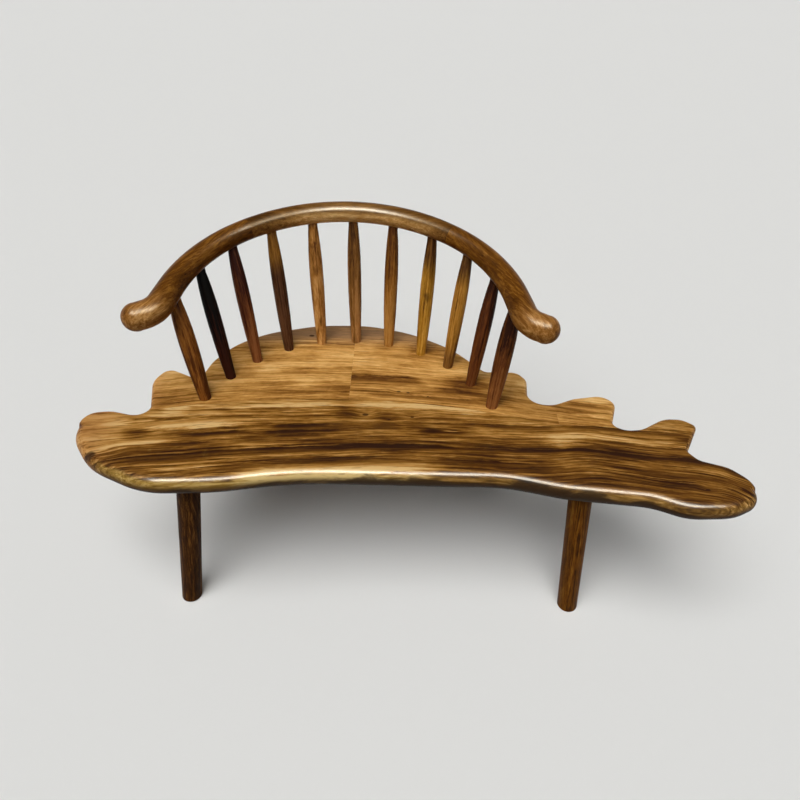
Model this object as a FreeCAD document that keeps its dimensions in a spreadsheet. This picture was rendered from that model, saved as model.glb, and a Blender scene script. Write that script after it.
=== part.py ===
import FreeCAD, Part
import Sketcher
import math
import os

# A bench with a thick natural-edged plank seat, a round bow back on eleven turned sticks
# and four splayed legs. The origin is on the floor under the middle of the bench: +X to the
# right seen from the front, +Y to the back, +Z up. Lengths are in millimetres, angles in degrees.

sizes = {
    # seat, glued up from a front slab, two rear boards and a filler block
    "seat_length": 1500,
    "seat_depth": 654,
    "seat_thickness": 47,
    "seat_height": 430,
    "nose_flat": 2,
    "back_rounding": 11,
    "glue_line_radius": 1776,
    "glue_gap": 0.2,
    "filler_depth": 43,
    "overrun": 25,
    # joints: the least wood left under a blind socket, the play round a tenon and behind it
    "socket_floor": 15,
    "fit": 0.15,
    "end_room": 1,
    # sticks: nine spindles and two stouter end posts, on a ring round the sitter
    "ring_radius": 344,
    "ring_inset": 82,
    "ring_step": 15.15,
    "end_post_set_out": 10,
    "spindle_foot_radius": 12.5,
    "spindle_belly_radius": 17.2,
    "spindle_top_radius": 11.7,
    "end_post_foot_radius": 14.5,
    "end_post_belly_radius": 20,
    "end_post_top_radius": 14.5,
    "stick_neck": 8,
    "top_tenon_past": 6,
    # bow: centre length, arms, hands and the dowels in its two glue joints
    "bow_height": 335.6,
    "bow_set_back": 66.3,
    "bow_shift": 8,
    "bow_tilt": 13,
    "bow_radius": 418,
    "bow_centre_turn": 35.3,
    "arm_radius": 353,
    "arm_turn": 41.9,
    "arm_straight": 48,
    "hand_bend_radius": 53,
    "hand_turn": 50,
    "hand_tail": 16,
    "rail_radius": 24.7,
    "hand_radius": 31.2,
    "stick_spacing": 103,
    "dowel_radius": 5,
    "dowel_length": 50,
    # legs
    "leg_top_radius": 27,
    "leg_foot_radius": 24,
    "leg_tenon_radius": 18,
    "foot_chamfer": 2,
    "front_rake": 8,
    "front_splay": 4.8,
    "rear_rake": 13,
    "rear_splay": 6,
}

# Corners of the seat's outline before they are rounded, clockwise from the left of the front:
# x as a share of the seat's length, y and the corner's radius as shares of its depth, and
# whether the edge there has the full nose of the front or the small rounding of the back.
outline_shares = [
    (-0.3728, -0.4632, 0.306, "nose"),
    (-0.4595, -0.3683, 0.245, "nose"),
    (-0.5002, -0.2413, 0.138, "nose"),
    (-0.4995, -0.1251, 0.061, "back"),
    (-0.4595, -0.1085, 0.107, "back"),
    (-0.4262, -0.1265, 0.092, "back"),
    (-0.3988, -0.1235, 0.062, "back"),
    (-0.4190, 0.0706, 0.092, "back"),
    (-0.4015, 0.1531, 0.040, "back"),
    (-0.3442, 0.0874, 0.028, "back"),
    (-0.3328, 0.2021, 0.183, "back"),
    (-0.3048, 0.3213, 0.306, "back"),
    (-0.2495, 0.4131, 0.398, "back"),
    (-0.1628, 0.4788, 0.459, "back"),
    (-0.0728, 0.4911, 0.459, "back"),
    (0.0105, 0.4360, 0.459, "back"),
    (0.0805, 0.3336, 0.398, "back"),
    (0.1325, 0.1883, 0.023, "back"),
    (0.1872, 0.1914, 0.046, "back"),
    (0.2018, 0.1440, 0.046, "back"),
    (0.1958, 0.0085, 0.066, "back"),
    (0.2338, -0.0065, 0.107, "back"),
    (0.2705, 0.0370, 0.122, "back"),
    (0.3205, 0.0612, 0.061, "back"),
    (0.3398, 0.0155, 0.040, "back"),
    (0.3218, -0.1080, 0.030, "back"),
    (0.3405, -0.1335, 0.060, "back"),
    (0.3658, -0.1265, 0.092, "back"),
    (0.4072, -0.0625, 0.092, "back"),
    (0.4372, -0.0648, 0.061, "back"),
    (0.4565, -0.1007, 0.020, "back"),
    (0.4238, -0.2352, 0.020, "back"),
    (0.4352, -0.2765, 0.046, "back"),
    (0.4752, -0.3075, 0.092, "back"),
    (0.4992, -0.3700, 0.076, "back"),
    (0.5005, -0.4493, 0.061, "nose"),
    (0.4605, -0.4998, 0.183, "nose"),
    (0.3938, -0.5086, 0.183, "nose"),
    (0.3472, -0.4620, 0.245, "nose"),
    (0.2272, -0.4360, 0.459, "nose"),
    (0.1438, -0.3915, 0.459, "nose"),
    (-0.1662, -0.3976, 1.376, "nose"),
    (-0.2662, -0.4478, 0.765, "nose"),
]

# Places along the seat as shares of its length, and across it as shares of its depth.
back_centre_share = -0.0935
rear_edge_share = 0.4911
glue_crown_share = -0.0150
glue_left_share = -0.3928
filler_start_share = 0.2372
rear_left_limit_share = -0.4328
rear_right_limit_share = 0.3538
belly_share = 0.57
side_use_share = 0.98
joint_between_share = 0.5

# Sticks stand by hand, not quite evenly: how far the foot and the head of each, from left to
# right, are off their even place, as shares of the way to the next stick.
stick_drift_shares = [
    (0, 0.01), (0.03, 0.03), (0.018, 0.012), (0.034, 0.035), (0.018, 0.047), (0.027, 0.023),
    (0, 0), (0.02, 0.012), (-0.018, 0.035), (-0.035, 0), (0, 0),
]

# Legs: node, x and y of the socket as shares, share of the splay and sign of the rake.
leg_shares = [
    ("leg_front_left", -0.3228, -0.3316, -1.15, -1),
    ("leg_front_right", 0.2618, -0.3316, 0.77, -1),
    ("leg_rear_left", -0.2088, 0.1333, -1, 1),
    ("leg_rear_right", 0.1445, 0.1333, 1, 1),
]

arm_section_steps = 30
swelling_power = 1.5
sticks_each_side = 5
centre_sticks_each_side = 2

doc = FreeCAD.newDocument("Bench")
sheet = doc.addObject("Spreadsheet::Sheet", "Sizes")
for row, (alias, number) in enumerate(sizes.items(), 1):
    sheet.set(f"A{row}", alias)
    sheet.set(f"B{row}", str(number))
    sheet.setAlias(f"B{row}", alias)
doc.recompute()


class Measure(float):
    # A number that keeps the formula it was worked out with, in terms of the sheet's cells,
    # so that a property can be bound to it.
    def __new__(cls, value, formula=None):
        measure = super().__new__(cls, value)
        measure.formula = formula or repr(float(value))
        return measure

    def __add__(self, other):
        return Measure(float(self) + float(other), f"({self.formula} + {formula_of(other)})")

    def __sub__(self, other):
        return Measure(float(self) - float(other), f"({self.formula} - {formula_of(other)})")

    def __mul__(self, other):
        return Measure(float(self) * float(other), f"({self.formula} * {formula_of(other)})")

    def __truediv__(self, other):
        return Measure(float(self) / float(other), f"({self.formula} / {formula_of(other)})")

    def __pow__(self, power):
        return Measure(float(self) ** float(power), f"({self.formula} ^ {formula_of(power)})")

    def __radd__(self, other):
        return Measure(other) + self

    def __rsub__(self, other):
        return Measure(other) - self

    def __rmul__(self, other):
        return Measure(other) * self

    def __neg__(self):
        return Measure(-float(self), f"(0 - {self.formula})")


def formula_of(number):
    return number.formula if isinstance(number, Measure) else repr(float(number))


def size(alias):
    return Measure(float(sheet.get(alias)), f"Sizes.{alias}")


def sine(angle):
    return Measure(math.sin(math.radians(angle)), f"sin({formula_of(angle)})")


def cosine(angle):
    return Measure(math.cos(math.radians(angle)), f"cos({formula_of(angle)})")


def slope(angle):
    return Measure(math.tan(math.radians(angle)), f"tan({formula_of(angle)})")


def root(number):
    return Measure(math.sqrt(number), f"sqrt({formula_of(number)})")


def in_degrees(arc, radius):
    # the angle that an arc of this length turns on this radius
    return Measure(math.degrees(arc / radius), f"(({arc.formula}) / ({radius.formula}) * 180 / pi)")


def shifted(point, direction, distance):
    return tuple(start + part * distance for start, part in zip(point, direction))


def direction_between(start, end):
    steps = [last - first for first, last in zip(start, end)]
    reach = root(sum(step * step for step in steps))
    return tuple(step / reach for step in steps), reach


def bind(thing, **measures):
    for name, measure in measures.items():
        thing.setExpression(name, formula_of(measure))


def place(thing, point, turning="rotation(vector(0; 0; 1); 0)"):
    x, y, z = (formula_of(coordinate) for coordinate in point)
    thing.setExpression("Placement", f"placement(vector({x}; {y}; {z}); {turning})")


def pointing(direction):
    # the turning that carries the upright axis into a direction
    x, y, z = (formula_of(part) for part in direction)
    return f"rotation(vector(0 - {y}; {x}; 0); atan2(hypot({x}; {y}); {z}))"


def rod(name, radius, start, turning, height):
    cylinder = doc.addObject("Part::Cylinder", name)
    bind(cylinder, Radius=radius, Height=height)
    place(cylinder, start, turning)
    return cylinder


def cut(name, base, tools):
    tool = doc.addObject("Part::Compound", f"{name}_tools")
    tool.Links = tools
    result = doc.addObject("Part::Cut", name)
    result.Base = base
    result.Tool = tool
    return result


def new_sketch(body, name, plane):
    sketch = body.newObject("Sketcher::SketchObject", name)
    base = next(feature for feature in body.Origin.OriginFeatures if feature.Role == plane)
    sketch.AttachmentSupport = [(base, "")]
    sketch.MapMode = "FlatFace"
    return sketch


def hold(sketch, kind, places, measure):
    # a driving dimension of a sketch, bound to its formula
    number = sketch.addConstraint(Sketcher.Constraint(kind, *places, float(measure)))
    sketch.setExpression(f"Constraints[{number}]", measure.formula)


def plank(name, corners, arc_side=None, arc_radius=None):
    # a board as thick as the seat, with straight sides between its corners; the side listed
    # bows out with the radius of the glue line
    body = doc.addObject("PartDesign::Body", name)
    sketch = new_sketch(body, f"{name}_outline", "XY_Plane")
    ends = corners[1:] + corners[:1]
    for side, (start, end) in enumerate(zip(corners, ends)):
        first = FreeCAD.Vector(*start, 0)
        last = FreeCAD.Vector(*end, 0)
        if side == arc_side:
            chord = last - first
            outward = FreeCAD.Vector(chord.y, -chord.x, 0).normalize()
            rise = arc_radius - math.sqrt(arc_radius ** 2 - (chord.Length / 2) ** 2)
            sketch.addGeometry(Part.Arc(first, (first + last) / 2 + outward * rise, last), False)
        else:
            sketch.addGeometry(Part.LineSegment(first, last), False)
    count = len(corners)
    sketch.addConstraint(
        [Sketcher.Constraint("Coincident", side, 2, (side + 1) % count, 1) for side in range(count)]
    )
    for side, (x, y) in enumerate(corners):
        hold(sketch, "DistanceX", (-1, 1, side, 1), x)
        hold(sketch, "DistanceY", (-1, 1, side, 1), y)
    if arc_side is not None:
        hold(sketch, "Radius", (arc_side,), arc_radius)
    pad = body.newObject("PartDesign::Pad", f"{name}_pad")
    pad.Profile = sketch
    bind(pad, Length=seat_thickness)
    place(body, (Measure(0), Measure(0), seat_underside))
    doc.recompute()
    return body


seat_length = size("seat_length")
seat_depth = size("seat_depth")
seat_thickness = size("seat_thickness")
seat_height = size("seat_height")
seat_underside = seat_height - seat_thickness
overrun = size("overrun")
fit = size("fit")
end_room = size("end_room")
socket_depth = seat_thickness - size("socket_floor")
back_centre = seat_length * back_centre_share


# Seat: the outline is padded, its corners are rounded in plan, and then its edges all round.
def limited_radii(corners, radii):
    # a corner's radius is limited by the two sides that it lies between
    count = len(corners)
    lengths = [(corners[(i + 1) % count] - corners[i]).Length for i in range(count)]
    halves = []
    for i in range(count):
        before = corners[i - 1] - corners[i]
        after = corners[(i + 1) % count] - corners[i]
        halves.append(before.getAngle(after) / 2)
    reaches = [radius / math.tan(half) for radius, half in zip(radii, halves)]
    limits = []
    for i in range(count):
        side_before = lengths[i - 1] / (reaches[i - 1] + reaches[i])
        side_after = lengths[i] / (reaches[i] + reaches[(i + 1) % count])
        limits.append(min(1, side_use_share * side_before, side_use_share * side_after))
    radii = [radius * limit for radius, limit in zip(radii, limits)]
    return radii, [reach * limit for reach, limit in zip(reaches, limits)]


def seat_blank():
    corners = [(seat_length * x, seat_depth * y) for x, y, radius, edge in outline_shares]
    blank = plank("seat_blank", corners)
    points = [FreeCAD.Vector(x, y, 0) for x, y in corners]
    wanted = [seat_depth * radius for x, y, radius, edge in outline_shares]
    radii, reaches = limited_radii(points, wanted)
    rounded = doc.addObject("Part::Fillet", "seat_rounded")
    rounded.Base = blank
    edges = []
    for number, edge in enumerate(blank.Shape.Edges, 1):
        foot, head = edge.Vertexes[0].Point, edge.Vertexes[-1].Point
        if abs(foot.z - head.z) > seat_thickness / 2:
            plan = FreeCAD.Vector(foot.x, foot.y, 0)
            corner = min(range(len(points)), key=lambda i: (points[i] - plan).Length)
            edges.append((number, radii[corner], radii[corner]))
    rounded.Edges = edges
    doc.recompute()

    nose = (seat_thickness - size("nose_flat")) / 2
    rounding = {"nose": nose, "back": size("back_rounding")}
    tangent_points = []
    for i, (x, y, radius, edge) in enumerate(outline_shares):
        for neighbour in (points[i - 1], points[(i + 1) % len(points)]):
            side = (neighbour - points[i]).normalize()
            tangent_points.append((points[i] + side * reaches[i], rounding[edge]))

    def rounding_at(point):
        plan = FreeCAD.Vector(point.x, point.y, 0)
        return float(min(tangent_points, key=lambda pair: (pair[0] - plan).Length)[1])

    softened = doc.addObject("Part::Fillet", "seat_softened")
    softened.Base = rounded
    edges = []
    for number, edge in enumerate(rounded.Shape.Edges, 1):
        ends = [vertex.Point for vertex in edge.Vertexes]
        if abs(ends[0].z - ends[-1].z) < seat_thickness / 2:
            start = edge.valueAt(edge.FirstParameter)
            if (start - ends[0]).Length > (start - ends[-1]).Length:
                ends.reverse()
            edges.append((number, rounding_at(ends[0]), rounding_at(ends[-1])))
    softened.Edges = edges
    return softened


# Sticks: each stands on the ring on the seat and reaches the centre line of the bow.
ring_centre_y = seat_depth * rear_edge_share - size("ring_inset") - size("ring_radius")
bow_tilt = size("bow_tilt")
bow_radius = size("bow_radius")
bow_centre = (
    back_centre - size("bow_shift"),
    seat_depth * rear_edge_share - size("ring_inset") + size("bow_set_back")
    - bow_radius * cosine(bow_tilt),
    seat_height + size("bow_height") - bow_radius * sine(bow_tilt),
)
bow_centre_turn = size("bow_centre_turn")
arm_radius = size("arm_radius")
arm_turn = size("arm_turn")
hand_bend_radius = size("hand_bend_radius")
hand_turn = size("hand_turn")
rail_radius = size("rail_radius")


def from_bow_plane(across, back):
    # a point of the bow's tilted plane, given from the centre of its arc
    x, y, z = bow_centre
    return (x + across, y + back * cosine(bow_tilt), z + back * sine(bow_tilt))


def along_bow(side, turn):
    # the turning that carries the upright axis into the bow's run, where it has turned so far
    heading = -turn if side > 0 else 180 + turn
    tilt = f"rotation(vector(1; 0; 0); {bow_tilt.formula})"
    return f"{tilt} * rotation(vector(0; 0; 1); {heading.formula}) * rotation(vector(0; 1; 0); 90)"


# The bow's line from its middle to the hand: each stretch has a radius and a turn, or is
# straight and has a length. The hand bends the other way, so its radius counts as negative.
def run_of(radius, turn):
    return radius * turn * (math.pi / 180)


centre_run = run_of(bow_radius, bow_centre_turn)
stretches = [
    (centre_run, bow_radius, bow_centre_turn),
    (run_of(arm_radius, arm_turn), arm_radius, arm_turn),
    (size("arm_straight"), None, None),
    (run_of(hand_bend_radius, hand_turn), -hand_bend_radius, -hand_turn),
    (size("hand_tail"), None, None),
]
arm_run = sum(length for length, radius, whole_turn in stretches[1:])


def rail_radius_at(run):
    # the rail is even in the centre length and swells along the arms, up to the hand
    if run < centre_run:
        return rail_radius
    way_share = (run - centre_run) / arm_run
    return rail_radius + (size("hand_radius") - rail_radius) * way_share ** swelling_power


def bow_point(run):
    # across, back and turn of the bow's line at a run from its middle
    across, back, turn = Measure(0), bow_radius, Measure(0)
    for length, radius, whole_turn in stretches:
        whole = run >= length
        if radius is None:
            step = length if whole else run
            across = across + step * cosine(turn)
            back = back - step * sine(turn)
        else:
            now = turn + (whole_turn if whole else in_degrees(run, radius))
            across = across + radius * (sine(now) - sine(turn))
            back = back + radius * (cosine(now) - cosine(turn))
            turn = now
        if not whole:
            break
        run = run - length
    return across, back, turn


def socket_run(number):
    # how far along the bow a stick's socket lies from the middle: the sockets share out the
    # centre length, so that its glue joints fall between two of them, and the arms go on from there
    from_joint = abs(number) - centre_sticks_each_side - joint_between_share
    if from_joint < 0:
        return centre_run * (abs(number) / (centre_sticks_each_side + joint_between_share))
    return centre_run + size("stick_spacing") * from_joint


def stick_profile(body, name, kind, length, foot_run, top_run):
    # half of a stick: straight tenon, two arcs that meet at the belly, straight tenon
    foot = size(f"{kind}_foot_radius")
    belly = size(f"{kind}_belly_radius")
    top = size(f"{kind}_top_radius")
    waist = length * belly_share
    sketch = new_sketch(body, f"{name}_profile", "XZ_Plane")
    outline = [(0, 0), (foot, 0), (foot, foot_run), (belly, waist), (top, length - top_run), (top, length)]
    points = [FreeCAD.Vector(r, z, 0) for r, z in outline] + [FreeCAD.Vector(0, length, 0)]
    low_end, foot_side, foot_arc, top_arc, top_side, high_end, axis = range(len(points))
    for side, (start, end) in enumerate(zip(points, points[1:] + points[:1])):
        if side in (foot_arc, top_arc):
            narrow = start if side == foot_arc else end
            drop = abs(points[top_arc].y - narrow.y)
            radius = (drop ** 2 + (belly - narrow.x) ** 2) / (belly - narrow.x) / 2
            centre = FreeCAD.Vector(belly - radius, waist, 0)
            circle = Part.Circle(centre, FreeCAD.Vector(0, 0, 1), radius)
            sweep = math.asin(drop / radius)
            low = -sweep if side == foot_arc else 0
            sketch.addGeometry(Part.ArcOfCircle(circle, low, low + sweep), False)
        else:
            sketch.addGeometry(Part.LineSegment(start, end), False)
    following = list(range(foot_side, axis + 1)) + [low_end]
    sketch.addConstraint(
        [Sketcher.Constraint("Coincident", side, 2, after, 1) for side, after in enumerate(following)]
        + [Sketcher.Constraint("Coincident", low_end, 1, -1, 1)]
        + [Sketcher.Constraint("Horizontal", side) for side in (low_end, high_end)]
        + [Sketcher.Constraint("Vertical", side) for side in (foot_side, top_side, axis)]
        + [Sketcher.Constraint("Horizontal", side, 3, top_arc, 1) for side in (foot_arc, top_arc)]
    )
    hold(sketch, "DistanceX", (-1, 1, foot_side, 1), foot)
    hold(sketch, "DistanceX", (-1, 1, top_arc, 1), belly)
    hold(sketch, "DistanceX", (-1, 1, top_side, 1), top)
    hold(sketch, "DistanceY", (-1, 1, foot_side, 2), foot_run)
    hold(sketch, "DistanceY", (-1, 1, top_arc, 1), waist)
    hold(sketch, "DistanceY", (top_side, 1, top_side, 2), top_run)
    hold(sketch, "DistanceY", (-1, 1, high_end, 2), length)
    return sketch


def stick(name, kind, foot_place, head_place):
    # the stick itself and the two rods that cut its sockets in the seat and in the bow
    turn = size("ring_step") * foot_place
    ring = size("ring_radius")
    if kind == "end_post":
        ring = ring + size("end_post_set_out")
    foot = (back_centre + ring * sine(turn), ring_centre_y + ring * cosine(turn), seat_height)
    head_run = socket_run(head_place)
    across, back = bow_point(head_run)[:2]
    side = -1 if head_place < 0 else 1
    head = from_bow_plane(across * side, back)
    direction, reach = direction_between(foot, head)
    past = size("top_tenon_past")
    start = shifted(foot, direction, -socket_depth)
    length = socket_depth + reach + past
    foot_run = socket_depth + size("stick_neck")
    rail = rail_radius_at(head_run)
    top_run = past + rail + size("stick_neck")
    body = doc.addObject("PartDesign::Body", name)
    turned = body.newObject("PartDesign::Revolution", f"{name}_turned")
    sketch = stick_profile(body, name, kind, length, foot_run, top_run)
    turned.Profile = sketch
    turned.ReferenceAxis = (sketch, ["V_Axis"])
    turned.Angle = 360
    place(body, start, pointing(direction))
    seat_socket = rod(
        f"{name}_seat_socket", size(f"{kind}_foot_radius") + fit,
        shifted(foot, direction, -(socket_depth + end_room)), pointing(direction),
        socket_depth + end_room + overrun,
    )
    bow_socket = rod(
        f"{name}_bow_socket", size(f"{kind}_top_radius") + fit,
        shifted(head, direction, -(rail + overrun)), pointing(direction),
        rail + overrun + past + end_room,
    )
    return body, seat_socket, bow_socket


# Bow: a centre length of one radius, and two arms that end in outward-curled hands.
def dowel(side):
    across = bow_radius * sine(bow_centre_turn) * side
    middle = from_bow_plane(across, bow_radius * cosine(bow_centre_turn))
    run = (
        cosine(bow_centre_turn) * side,
        -sine(bow_centre_turn) * cosine(bow_tilt),
        -sine(bow_centre_turn) * sine(bow_tilt),
    )
    name = "bow_dowel_right" if side > 0 else "bow_dowel_left"
    length = size("dowel_length")
    turning = along_bow(side, bow_centre_turn)
    pin = rod(name, size("dowel_radius"), shifted(middle, run, -length / 2), turning, length)
    deep = length + end_room * 2
    hole = rod(f"{name}_hole", size("dowel_radius") + fit, shifted(middle, run, -deep / 2), turning, deep)
    return pin, hole


def bow_centre_length():
    ring = doc.addObject("Part::Torus", "bow_centre_blank")
    bind(ring, Radius1=bow_radius, Radius2=rail_radius, Angle3=bow_centre_turn * 2)
    tilt = f"rotation(vector(1; 0; 0); {bow_tilt.formula})"
    place(ring, bow_centre, f"{tilt} * rotation(vector(0; 0; 1); {(90 - bow_centre_turn).formula})")
    return ring


def bow_arm(name, side):
    sections = []
    for number in range(arm_section_steps + 1):
        run = centre_run + arm_run * (number / arm_section_steps)
        across, back, turn = bow_point(run)
        section = doc.addObject("Part::Circle", f"{name}_section_{number}")
        bind(section, Radius=rail_radius_at(run))
        place(section, from_bow_plane(across * side, back), along_bow(side, turn))
        sections.append(section)
    loft = doc.addObject("Part::Loft", f"{name}_run")
    loft.Sections = sections
    loft.Solid = True
    knob = doc.addObject("Part::Sphere", f"{name}_knob")
    bind(knob, Radius=size("hand_radius"))
    knob.Angle1 = 0
    place(knob, from_bow_plane(across * side, back), along_bow(side, turn))
    arm = doc.addObject("Part::Fuse", f"{name}_blank")
    arm.Base = loft
    arm.Tool = knob
    return arm


# Legs: round and tapered, trimmed level with the floor and with the underside of the seat.
def leg(name, x_share, y_share, splay_share, rake_sign):
    end = "front" if rake_sign < 0 else "rear"
    seat_end = (seat_length * x_share, seat_depth * y_share, seat_underside)
    foot = (
        seat_end[0] + seat_underside * slope(size(f"{end}_splay")) * splay_share,
        seat_end[1] + seat_underside * slope(size(f"{end}_rake")) * rake_sign,
        Measure(0),
    )
    direction, reach = direction_between(foot, seat_end)
    turning = pointing(direction)
    post = doc.addObject("Part::Cone", f"{name}_post")
    bind(post, Radius1=size("leg_foot_radius"), Radius2=size("leg_top_radius"), Height=reach + overrun * 2)
    place(post, shifted(foot, direction, -overrun), turning)
    level = doc.addObject("Part::Box", f"{name}_level")
    width = reach * 2
    bind(level, Length=width, Width=width, Height=seat_underside)
    place(level, (foot[0] - width / 2, foot[1] - width / 2, Measure(0)))
    trimmed = doc.addObject("Part::Common", f"{name}_trimmed")
    trimmed.Base = post
    trimmed.Tool = level
    doc.recompute()
    eased = doc.addObject("Part::Chamfer", f"{name}_eased")
    eased.Base = trimmed
    chamfer = float(size("foot_chamfer"))
    eased.Edges = [
        (number, chamfer, chamfer) for number, edge in enumerate(trimmed.Shape.Edges, 1)
        if edge.BoundBox.ZMax < size("leg_foot_radius") / 2
    ]
    tenon_start = shifted(seat_end, direction, -overrun)
    tenon = rod(f"{name}_tenon", size("leg_tenon_radius"), tenon_start, turning, overrun + socket_depth)
    whole = doc.addObject("Part::Fuse", name)
    whole.Base = eased
    whole.Tool = tenon
    socket = rod(
        f"{name}_socket", size("leg_tenon_radius") + fit, tenon_start, turning,
        overrun + socket_depth + end_room,
    )
    return whole, socket


# Boards of the seat: the parts of one blank on either side of the arched glue line.
def glue_line(x, offset):
    radius = size("glue_line_radius")
    from_crown = x - back_centre
    drop = radius - root(radius * radius - from_crown * from_crown)
    return seat_depth * glue_crown_share - drop + offset


def seat_boards(blank):
    half_gap = size("glue_gap") / 2
    radius = size("glue_line_radius")
    rear = seat_depth / 2 + overrun
    front = -rear
    right = seat_length / 2 + overrun
    left = -right
    start = seat_length * glue_left_share
    butt = seat_length * filler_start_share
    left_limit = seat_length * rear_left_limit_share
    right_limit = seat_length * rear_right_limit_share
    step = glue_line(butt, half_gap) + size("filler_depth")
    low_start = glue_line(start, -half_gap)
    low_butt = glue_line(butt, -half_gap)
    high_start = glue_line(start, half_gap)
    zones = {
        "seat_front_slab": ([
            (right_limit + half_gap, low_butt), (butt, low_butt), (start, low_start),
            (left_limit, low_start), (left_limit, rear), (left, rear), (left, front),
            (right, front), (right, rear), (right_limit + half_gap, rear),
        ], 1),
        "seat_rear_board_left": ([
            (back_centre - half_gap, glue_line(back_centre - half_gap, half_gap)),
            (start, high_start), (left_limit, high_start), (left_limit, rear),
            (back_centre - half_gap, rear),
        ], 0),
        "seat_rear_board_right": ([
            (butt - half_gap, glue_line(butt - half_gap, half_gap)),
            (back_centre + half_gap, glue_line(back_centre + half_gap, half_gap)),
            (back_centre + half_gap, rear), (right_limit, rear), (right_limit, step + half_gap),
            (butt - half_gap, step + half_gap),
        ], 0),
        "seat_side_block": ([
            (butt + half_gap, glue_line(butt, half_gap)), (right_limit, glue_line(butt, half_gap)),
            (right_limit, step - half_gap), (butt + half_gap, step - half_gap),
        ], None),
    }
    boards = []
    for name, (corners, arc_side) in zones.items():
        zone = plank(f"{name}_zone", corners, arc_side, radius)
        board = doc.addObject("Part::Common", name)
        board.Base = blank
        board.Tool = zone
        boards.append(board)
    return boards


sub_parts = []
seat_sockets = []
bow_sockets = {}
for number, (foot_share, head_share) in enumerate(stick_drift_shares, -sticks_each_side):
    if abs(number) == sticks_each_side:
        name = "right_end_post" if number > 0 else "left_end_post"
        kind = "end_post"
    else:
        name = f"spindle_{number + sticks_each_side}"
        kind = "spindle"
    body, seat_socket, bow_socket = stick(name, kind, number + foot_share, number + head_share)
    sub_parts.append(body)
    seat_sockets.append(seat_socket)
    bow_sockets[number] = bow_socket

for name, *shares in leg_shares:
    whole, socket = leg(name, *shares)
    sub_parts.append(whole)
    seat_sockets.append(socket)

left_dowel, left_hole = dowel(-1)
right_dowel, right_hole = dowel(1)
sub_parts += [left_dowel, right_dowel]
near = centre_sticks_each_side
centre_sockets = [socket for number, socket in bow_sockets.items() if abs(number) <= near]
left_sockets = [socket for number, socket in bow_sockets.items() if number < -near]
right_sockets = [socket for number, socket in bow_sockets.items() if number > near]
sub_parts += [
    cut("back_bow_centre", bow_centre_length(), centre_sockets + [left_hole, right_hole]),
    cut("back_bow_left_arm", bow_arm("left_arm", -1), left_sockets + [left_hole]),
    cut("back_bow_right_arm", bow_arm("right_arm", 1), right_sockets + [right_hole]),
]
sub_parts += seat_boards(cut("seat_drilled", seat_blank(), seat_sockets))
doc.recompute()

for thing in doc.Objects:
    if "Invalid" in thing.State or "Error" in thing.State:
        raise RuntimeError(f"{thing.Name} was not made: {thing.State}")
os.makedirs("parts", exist_ok=True)
for sub_part in sub_parts:
    sub_part.Label = sub_part.Name
    shape = sub_part.Shape
    if shape.isNull() or not shape.isValid() or len(shape.Solids) != 1:
        raise RuntimeError(f"{sub_part.Label} is not one sound solid")
for sub_part in sub_parts:
    sub_part.Shape.exportStep(f"parts/{sub_part.Label}.step")
    box = sub_part.Shape.BoundBox
    print(sub_part.Label, [round(edge, 1) for edge in (
        box.XMin, box.XMax, box.YMin, box.YMax, box.ZMin, box.ZMax)])
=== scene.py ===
import bpy
import math
from mathutils import Matrix, Vector

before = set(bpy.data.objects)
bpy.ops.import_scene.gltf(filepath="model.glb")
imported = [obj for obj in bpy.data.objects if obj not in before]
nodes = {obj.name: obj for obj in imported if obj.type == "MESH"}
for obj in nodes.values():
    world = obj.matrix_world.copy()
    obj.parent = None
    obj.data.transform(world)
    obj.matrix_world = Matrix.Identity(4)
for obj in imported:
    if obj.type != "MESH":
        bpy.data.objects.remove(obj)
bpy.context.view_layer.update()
bpy.ops.object.select_all(action="DESELECT")
print("frame loaded:", len(nodes), "pieces")

# camera: where it stands, how far it looks down, and the small turn and roll it was held with
camera = {
    "place": (-0.03355, -1.31084, 1.500),
    "down": 39.35,  # this and the next two are in degrees
    "turn": 0.71,
    "roll": 2.15,
    "lens": 31.5,
    "sensor": 36,
}


def setCamera():
    turn = math.radians(camera["turn"])
    down = math.radians(camera["down"])
    roll = math.radians(camera["roll"])
    level = math.cos(down)
    ahead = Vector((level * math.sin(turn), level * math.cos(turn), -math.sin(down)))
    right = Vector((math.cos(turn), -math.sin(turn), 0))
    up = right.cross(ahead)
    side = math.cos(roll) * right + math.sin(roll) * up
    top = math.cos(roll) * up - math.sin(roll) * right
    turned = Matrix((side, top, -ahead)).transposed().to_4x4()
    bpy.ops.object.camera_add(location=camera["place"], rotation=turned.to_euler())
    made = bpy.context.object
    made.name = "camera"
    made.data.lens = camera["lens"]
    made.data.sensor_width = camera["sensor"]
    bpy.context.scene.camera = made


setCamera()
print("camera set")


# helpers for node materials: a value is a number, a colour or another node's socket
def addNode(tree, kind, inputs=None, **settings):
    added = tree.nodes.new("ShaderNode" + kind)
    for name, value in settings.items():
        setattr(added, name, value)
    for name, value in (inputs or {}).items():
        feed(tree, added.inputs[name], value)
    return added


def feed(tree, socket, value):
    if isinstance(value, bpy.types.NodeSocket):
        tree.links.new(value, socket)
    else:
        socket.default_value = value


def calc(tree, operation, *values):
    return addNode(tree, "Math", dict(enumerate(values)), operation=operation).outputs[0]


def vectorCalc(tree, operation, *values):
    added = addNode(tree, "VectorMath", dict(enumerate(values)), operation=operation)
    return added.outputs["Value" if operation == "DISTANCE" else "Vector"]


def colour(red, green, blue):
    # screen values from 0 to 255 as the linear values that a shader takes
    return tuple(((c / 255 + 0.055) / 1.055) ** 2.4 for c in (red, green, blue)) + (1,)


def blend(tree, factor, first, second):
    return addNode(tree, "Mix", {0: factor, 6: first, 7: second}, data_type="RGBA").outputs[2]


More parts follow.
